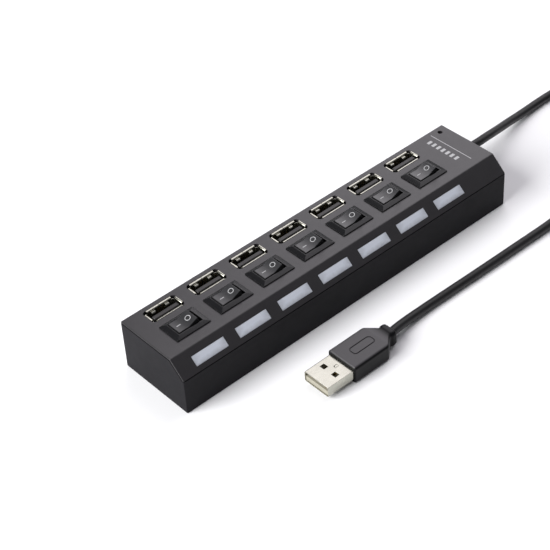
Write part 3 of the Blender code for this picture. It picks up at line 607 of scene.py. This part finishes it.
def lip_profile(steps=6):
    """Section of the flared mouth: outer and inner points, (stand-out, z), from root to tip."""
    straight = (LIP_REACH - LIP_RADIUS * (1 - math.cos(LIP_BEND)) - SHEET * math.cos(LIP_BEND))
    straight /= math.sin(LIP_BEND)
    rise = LIP_RADIUS * math.sin(LIP_BEND) + straight * math.cos(LIP_BEND)
    root = LIP_TOP - rise
    outer, inner = [], []
    for step in range(steps + 2):
        angle = LIP_BEND * min(step, steps) / steps
        along = straight if step > steps else 0.0
        out = LIP_RADIUS * (1 - math.cos(angle)) + along * math.sin(angle)
        z = root + LIP_RADIUS * math.sin(angle) + along * math.cos(angle)
        inner.append((out, z))
        outer.append((out + SHEET * math.cos(angle), z - SHEET * math.sin(angle)))
    return outer, inner, root


def lip_gaps_mesh(floor):
    """What parts the lips: a box over each corner, down to the floor, and the sheet's joint."""
    gaps = bmesh.new()
    top, beyond_x, beyond_y = 3 * MM, 12 * MM, 6 * MM
    for side_x in (-1, 1):
        for side_y in (-1, 1):
            low_x, high_x = sorted((side_x * LIP_HALF[0], side_x * beyond_x))
            low_y, high_y = sorted((side_y * LIP_HALF[1], side_y * beyond_y))
            add_box(gaps, (low_x, low_y, floor), (high_x, high_y, top))
    joint_half, joint_depth = 0.06 * MM, 6 * MM
    add_box(gaps, (-joint_half, 0, -joint_depth), (joint_half, beyond_y, top))
    return to_mesh("lip_gaps", gaps)


def port_shell_mesh(shell_bottom):
    """A sheet tube with a flared mouth in four lips, and the sheet's joint in the back one."""
    outer, inner, root_z = lip_profile()
    profile = [(SHEET, shell_bottom)] + outer + inner[::-1] + [(0.0, shell_bottom)]
    rings = []
    for out, z in profile:
        outline = rounded_rectangle(PORT_HALF[0] + out, PORT_HALF[1] + out, PORT_CORNER + out)
        rings.append([(x, y, z) for x, y in outline])
    shape = bmesh.new()
    add_loft(shape, rings, closed=True)
    shell = boolean(to_mesh("port_shell", shape), lip_gaps_mesh(root_z - LIP_CUT))
    shape = bmesh.new()
    shape.from_mesh(shell)
    bmesh.ops.remove_doubles(shape, verts=shape.verts, dist=0.001 * MM)
    round_off(shape, 0.05 * MM, sharper_than=50.0)
    return to_mesh("port_shell", shape)


def spring_mesh():
    """Two leaf springs on the back wall, bulging toward the tongue, and two on the front one."""
    shape = bmesh.new()
    half, leaf = 0.8 * MM, 0.18 * MM
    root = (0.02 * MM, -6.2 * MM)
    rises = [  # share of the bulge, and height in millimetres
        (0.25, -4.0), (0.75, -2.4), (0.97, -1.6), (1.0, -1.35), (0.93, -1.12), (0.70, -0.93),
        (0.30, -0.76),
    ]
    for side, bulge in ((1, 0.9 * MM), (-1, 0.38 * MM)):
        profile = [root] + [(share * bulge, z * MM) for share, z in rises]
        loop = profile + [(max(0.0, away - leaf), z - leaf / 2) for away, z in reversed(profile)]
        for x in (-SPRING_X, SPRING_X):
            points = [(x - half, side * (PORT_HALF[1] - away), z) for away, z in loop]
            add_prism(shape, points, (2 * half, 0, 0))
    return to_mesh("port_springs", shape)


def contacts_mesh():
    """The four contact leaves on the tongue's back face."""
    shape = bmesh.new()
    half, leaf, sunk = 0.5 * MM, 0.12 * MM, 0.02 * MM
    profile = [(0.0, -11.0 * MM), (0.03 * MM, -5.0 * MM), (0.22 * MM, -4.0 * MM), (0.0, -3.0 * MM)]
    loop = [(-sunk, z) for away, z in profile] + [(away + leaf, z) for away, z in reversed(profile)]
    for x in CONTACTS_X:
        add_prism(shape, [(x - half, TONGUE_BACK + away, z) for away, z in loop], (2 * half, 0, 0))
    return to_mesh("port_contacts", shape)


def make_ports():
    """Each port's shell with its springs, and its tongue with its contacts."""
    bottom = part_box("port_shell_1")[0].z - LID_TOP
    shell, springs, contacts = port_shell_mesh(bottom), spring_mesh(), contacts_mesh()
    for index, place in port_places():
        at = Matrix.Translation(place)
        node = f"port_shell_{index}"
        piece(f"{node}_finished", shell.copy(), "port_steel", stands_for=[node], place=at)
        piece(f"port_springs_{index}", springs.copy(), "port_steel", place=at)
        piece(f"port_contacts_{index}", contacts.copy(), "contact_gold", place=at)
        refine(f"port_tongue_{index}", "insulator_black", 0.10 * MM)


# ------------------------------------------------------------------ switches

def facet_frame(side):
    """The middle of one facet of a level rocker, about its pivot; local X runs along the facet."""
    tilt = -side * ROCKER_TILT
    turn = Matrix.Rotation(tilt, 4, "Y")
    run = turn @ Vector((side * ROCKER_FACET / 2, 0, 0))
    return Matrix.Translation(Vector((0, 0, ROCKER_CENTRE)) + run) @ turn


def rocker_mesh():
    """A rocker with two flat facets that meet at a crease, and its two pins."""
    reach = ROCKER_FACET * math.cos(ROCKER_TILT)
    end_z = ROCKER_CENTRE + ROCKER_FACET * math.sin(ROCKER_TILT)
    half = [(reach, end_z), ROCKER_WAIST, ROCKER_FOOT]
    outline = [(0.0, ROCKER_CENTRE)] + half + [(-x, z) for x, z in reversed(half)]
    shape = bmesh.new()
    points = [(x, -ROCKER_HALF_WIDTH, z) for x, z in outline]
    add_prism(shape, points, (0, 2 * ROCKER_HALF_WIDTH, 0))
    round_off(shape, 0.28 * MM, sharper_than=30.0, segments=4)
    pins = bmesh.new()
    bmesh.ops.create_cone(
        pins, cap_ends=True, segments=32, radius1=PIN_RADIUS, radius2=PIN_RADIUS,
        depth=2 * PIN_HALF, matrix=Matrix.Rotation(math.pi / 2, 4, "X"),
    )
    return boolean(to_mesh("rocker", shape), to_mesh("pins", pins), "UNION")


def off_mark_mesh():
    """A printed ring on the +X facet."""
    sides = 48
    shape = bmesh.new()
    outer, inner, low, high = 1.08 * MM, 0.87 * MM, -MARK_DEPTH / 2, MARK_DEPTH
    rings = []
    for radius, z in ((outer, low), (outer, high), (inner, high), (inner, low)):
        angles = [2 * math.pi * step / sides for step in range(sides)]
        rings.append([(radius * math.cos(a), radius * math.sin(a), z) for a in angles])
    add_loft(shape, rings, closed=True)
    bmesh.ops.transform(shape, matrix=facet_frame(1), verts=shape.verts)
    return to_mesh("off_mark", shape)


def on_mark_mesh():
    """A printed bar on the -X facet."""
    shape = bmesh.new()
    outline = rounded_rectangle(0.88 * MM, 0.15 * MM, 0.08 * MM, steps=3)
    add_prism(shape, [(x, y, -MARK_DEPTH / 2) for x, y in outline], (0, 0, 1.5 * MARK_DEPTH))
    bmesh.ops.transform(shape, matrix=facet_frame(-1), verts=shape.verts)
    return to_mesh("on_mark", shape)


def terminals_mesh(drop):
    """Two flat blades that drop from a switch's foot to the board, broad above and slim below."""
    shape = bmesh.new()
    spacing, thickness, broad, slim, solder = 3.5 * MM, 0.5 * MM, 1.5 * MM, 0.6 * MM, 1.2 * MM
    outline = [(broad, 0.0), (broad, -0.4 * drop), (slim, -0.55 * drop), (slim, -drop)]
    outline += [(-y, z) for y, z in reversed(outline)]
    for x in (-spacing, spacing):
        add_prism(shape, [(x - thickness / 2, y, z) for y, z in outline], (thickness, 0, 0))
        rings = []
        for radius, height in ((solder, 0.0), (0.65 * solder, 0.35 * MM), (slim, 0.8 * MM)):
            ring = rounded_rectangle(radius, radius, 0.95 * radius, steps=4)
            rings.append([(x + along, y, height - drop) for along, y in ring])
        add_loft(shape, rings)
    return to_mesh("terminals", shape)


def make_switches():
    """Each switch's frame, its terminals, and its rocker with the two marks on it."""
    rocker, on_mark, off_mark = rocker_mesh(), on_mark_mesh(), off_mark_mesh()
    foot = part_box("switch_housing_1")[0].z
    terminals = terminals_mesh(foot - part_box("main_board")[1].z)
    for index, pivot in enumerate(PIVOTS, start=1):
        refine(f"switch_housing_{index}", "switch_black", 0.10 * MM, sharper_than=12.0)
        below = Matrix.Translation((pivot.x, pivot.y, foot))
        piece(f"terminals_{index}", terminals.copy(), "contact_gold", place=below, smooth=False)
        at = Matrix.Translation(pivot) @ Matrix.Rotation(-ROCKER_TILT, 4, "Y")
        node, body = f"rocker_{index}", f"key_{index}"
        piece(f"{node}_finished", rocker.copy(), "rocker_black", body, [node], at)
        piece(f"on_mark_{index}", on_mark.copy(), "mark_pale", body, place=at, smooth=False)
        piece(f"off_mark_{index}", off_mark.copy(), "mark_pale", body, place=at, smooth=False)


# ------------------------------------------------------------------ cable

def eased(value, start, end):
    """Goes smoothly from 0 to 1 while the value goes from start to end."""
    share = min(1.0, max(0.0, (value - start) / (end - start)))
    return share * share * (3 - 2 * share)


def coil_points():
    """Two turns side by side, then a last stretch that climbs over them to leave at the south."""
    points = []
    stack, settling = CABLE_DIAMETER, 0.13 * CABLE_DIAMETER
    for step in range(int(COIL_TURNED / COIL_STEP) + 1):
        turned = min(COIL_TURNED, step * COIL_STEP)
        inward = eased(turned, *COIL_INWARD) * (COIL_OUTER - COIL_INNER)
        outward = eased(turned, *COIL_OUTWARD) * (COIL_TOP_RADIUS - COIL_INNER)
        radius = COIL_OUTER - inward + outward
        height = eased(turned, *COIL_CLIMB) * stack - eased(turned, *COIL_SETTLE) * settling
        angle = math.radians(COIL_ENTRY_ANGLE - turned)
        place = Vector((radius * math.cos(angle), radius * math.sin(angle), 0))
        points.append(Vector((COIL_CENTRE.x, COIL_CENTRE.y, COIL_FIRST_LAYER + height)) + place)
    leaving = points[-1]
    for along, height in ((5 * MM, 5.9 * MM), (9.5 * MM, 6.0 * MM), (13 * MM, 5.5 * MM)):
        points.append(Vector((leaving.x - along, leaving.y, height)))
    return points


def smooth_route(points, spacing):
    """Points about one spacing apart on a Catmull-Rom curve through the route's own points."""
    route = [Vector(point) for point in points]
    ends = [2 * route[0] - route[1]] + route + [2 * route[-1] - route[-2]]
    smooth = []
    for before, start, end, after in zip(ends, ends[1:], ends[2:], ends[3:]):
        steps = max(1, round((end - start).length / spacing))
        for step in range(steps):
            t = step / steps
            bend = 2 * before - 5 * start + 4 * end - after
            twist = 3 * start - before - 3 * end + after
            smooth.append((2 * start + (end - before) * t + bend * t * t + twist * t ** 3) / 2)
    return smooth + [route[-1]]


def cable_curve():
    """A round curve along the cable's whole path, from the hub through the coil to the plug."""
    path = smooth_route(ROUTE_FROM_HUB + coil_points() + ROUTE_TO_PLUG, 1.5 * MM)
    curve = bpy.data.curves.new("cable", "CURVE")
    curve.dimensions = "3D"
    curve.bevel_depth = CABLE_DIAMETER / 2
    curve.bevel_resolution = 6
    curve.use_fill_caps = True
    spline = curve.splines.new("POLY")
    spline.points.add(len(path) - 1)
    for target, point in zip(spline.points, path):
        target.co = (*point, 1.0)
    spline.use_smooth = True
    curve.materials.append(FINISHES["cable_rubber"])
    return curve


def make_cable():
    """The cable, on the hub's body, in place of the CAD cable nodes."""
    cable = bpy.data.objects.new("cable", cable_curve())
    bpy.context.scene.collection.objects.link(cable)
    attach(cable, "hub")
    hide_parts("cable_from_hub", "cable_coil", "cable_to_plug")


# ------------------------------------------------------------------ plug

def grip_sections():
    """Sections from front to back: x, then half width, half height and corner in millimetres."""
    front, back = PLUG_LOW.x, PLUG_HIGH.x
    taper = front + GRIP_BODY
    waist = taper + GRIP_TAPER
    return [
        (front, 6.3, 3.2, 0.9), (front + 0.12 * MM, 6.55, 3.45, 1.0),
        (front + 0.4 * MM, 6.8, 3.7, 1.2), (taper - 0.7 * MM, 6.8, 3.7, 1.2),
        (taper, 6.7, 3.7, 1.2), (taper + 0.5 * MM, 6.35, 3.69, 1.2),
        (waist - 0.9 * MM, 3.95, 3.4, 1.35), (waist - 0.2 * MM, 3.35, 3.27, 1.4),
        (waist + 0.3 * MM, 3.17, 3.18, 1.4), (waist + 0.7 * MM, 3.25, 3.2, 1.5),
        (waist + 1.1 * MM, 3.48, 3.34, 1.6), (back - 1.1 * MM, 3.5, 3.35, 1.6),
        (back - 0.5 * MM, 3.38, 3.2, 1.6), (back - 0.15 * MM, 3.05, 2.85, 1.55),
        (back, 2.7, 2.5, 1.5),
    ]


def grip_cuts_mesh():
    """The room for the metal shell, and a line round an oblong that is sunk in the top."""
    cuts = bmesh.new()
    front, room, depth = PLUG_LOW.x, 0.12 * MM, 2 * MM
    low = (SHELL_LOW.x, SHELL_LOW.y - room, SHELL_LOW.z - room)
    add_box(cuts, low, (front + depth, SHELL_HIGH.y + room, SHELL_HIGH.z + room))
    foot, above = (PLUG_HIGH.z - OBLONG_DEPTH, 0.0), (PLUG_HIGH.z + MM, OBLONG_FLARE)
    rings = []
    for outline, sign, levels in (
        (OBLONG_OUTER, 1, (foot, above)), (OBLONG_INNER, -1, (above, foot)),
    ):
        for z, flare in levels:
            points = rounded_rectangle(*(size + sign * flare for size in outline))
            rings.append([(front + OBLONG_X + x, PLUG_CENTRE.y + y, z) for x, y in points])
    add_loft(cuts, rings, closed=True)
    return to_mesh("grip_cuts", cuts)


def grip_mesh():
    """A flat block that tapers to a waist and a round collar, with an oblong sunk in its top."""
    shape = bmesh.new()
    rings = []
    for x, half_y, half_z, corner in grip_sections():
        outline = rounded_rectangle(half_y * MM, half_z * MM, corner * MM, steps=6)
        rings.append([(x, PLUG_CENTRE.y + y, PLUG_CENTRE.z + z) for y, z in outline])
    add_loft(shape, rings)
    return boolean(to_mesh("plug_grip", shape), grip_cuts_mesh())


def plug_shell_mesh():
    """The CAD shell with a small rectangle coined into its top."""
    shape = bmesh.new()
    mark_x, line = PLUG_LOW.x - 2.6 * MM, 0.22 * MM
    half_x, half_y, corner = 0.9 * MM, 0.65 * MM, 0.3 * MM
    floor, above = SHELL_HIGH.z - 0.14 * MM, SHELL_HIGH.z + MM
    rings = []
    for inset, z in ((0.0, floor), (0.0, above), (line, above), (line, floor)):
        outline = rounded_rectangle(half_x - inset, half_y - inset, corner - inset)
        rings.append([(mark_x + x, PLUG_CENTRE.y + y, z) for x, y in outline])
    add_loft(shape, rings, closed=True)
    return boolean(refined_mesh("plug_shell", 0.06 * MM), to_mesh("coined", shape))


def plug_contacts_mesh():
    """The four contacts on the tongue; the outer two reach further forward."""
    low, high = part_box("plug_tongue")
    top, half, end = low.z + 1.95 * MM, 0.5 * MM, high.x - 4 * MM
    shape = bmesh.new()
    for y in CONTACTS_X:
        start = low.x + (0.8 * MM if abs(y) > 2 * MM else 1.6 * MM)
        middle = PLUG_CENTRE.y + y
        corner = (start, middle - half, top - 0.1 * MM)
        add_box(shape, corner, (end, middle + half, top + 0.05 * MM))
    return to_mesh("plug_contacts", shape)


def make_plug():
    """The plug's four pieces."""
    grip = piece("plug_grip", grip_mesh(), "grip_black", stands_for=["plug_overmould"])
    shell = piece("plug_shell_finished", plug_shell_mesh(), "port_steel", stands_for=["plug_shell"])
    tongue = refine("plug_tongue", "plug_cream", 0.08 * MM)
    contacts = piece("plug_contacts", plug_contacts_mesh(), "contact_gold")
    return [grip, shell, tongue, contacts]


# ------------------------------------------------------------------ small pieces

def make_inside():
    """The screws, the board and what stands on it."""
    for side in ("left", "right"):
        refine(f"screw_{side}", "screw_steel", 0.05 * MM)
    refine("main_board", "board_green", 0.05 * MM)
    refine("hub_chip_1", "chip_black", 0.05 * MM)
    refine("hub_chip_2", "chip_black", 0.05 * MM)
    refine("crystal", "can_steel", 0.20 * MM)
    refine("capacitor", "chip_black", 0.08 * MM)
    refine("power_led", "led_clear", 0.0)
    for index in range(1, PORT_COUNT + 1):
        refine(f"led_{index}", "led_clear", 0.0)


def make_cable_fittings():
    """The strap round the coil and the strain relief."""
    return [
        refine("cable_tie", "strap_black", 0.08 * MM),
        refine("cable_grommet", "cable_rubber", 0.10 * MM, sharper_than=30.0),
    ]


make_camera()
make_lights()
make_floor()
make_case()
make_windows()
make_print()
make_ports()
make_switches()
fitted_on_cable = make_plug() + make_cable_fittings()
make_inside()
make_cable()
